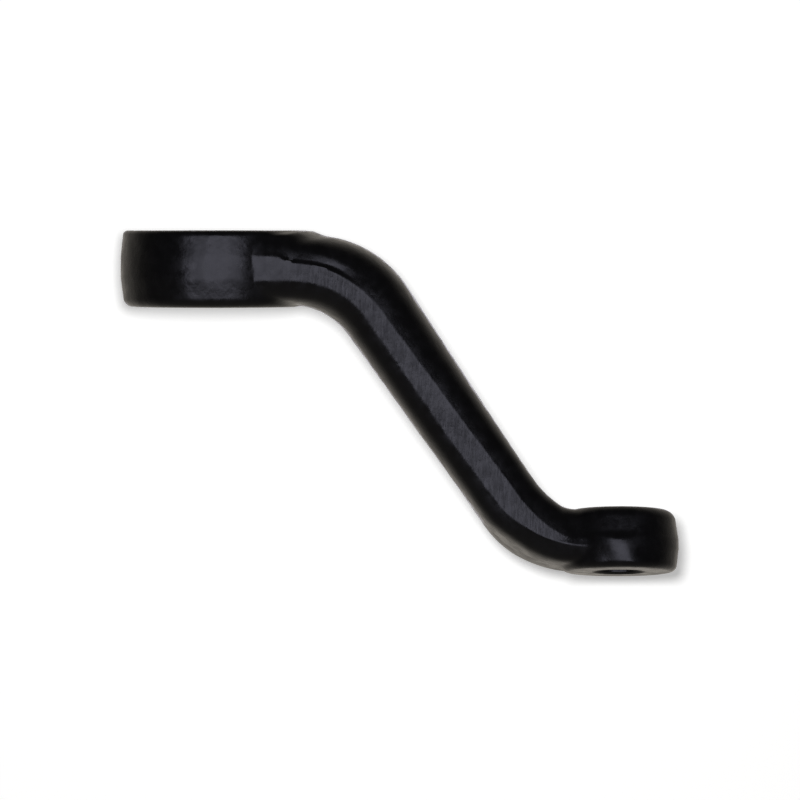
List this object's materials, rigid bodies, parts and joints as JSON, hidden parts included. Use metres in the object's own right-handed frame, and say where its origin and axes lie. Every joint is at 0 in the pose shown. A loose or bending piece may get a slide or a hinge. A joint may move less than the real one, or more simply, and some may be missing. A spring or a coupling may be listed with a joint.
{
  "type": "pitman arm",
  "caption": "Forged drop pitman arm with an S-bent shank, a serrated tapered eye for a steering sector shaft and a smaller leaning eye with a taper for a ball stud.",
  "frame": {"origin": "on the sector bore's axis, at mid height of the sector eye", "axes": "+Z along the sector bore, towards the steering gear; +X along the arm to the stud eye, which lies lower, towards -Z"},
  "size_m": [0.1953, 0.0664, 0.1222],
  "materials": {
    "black_coat": "satin black coat over forged steel"
  },
  "bodies": {
    "root": {"pitman_arm": "black_coat"}
  },
  "joints": []
}
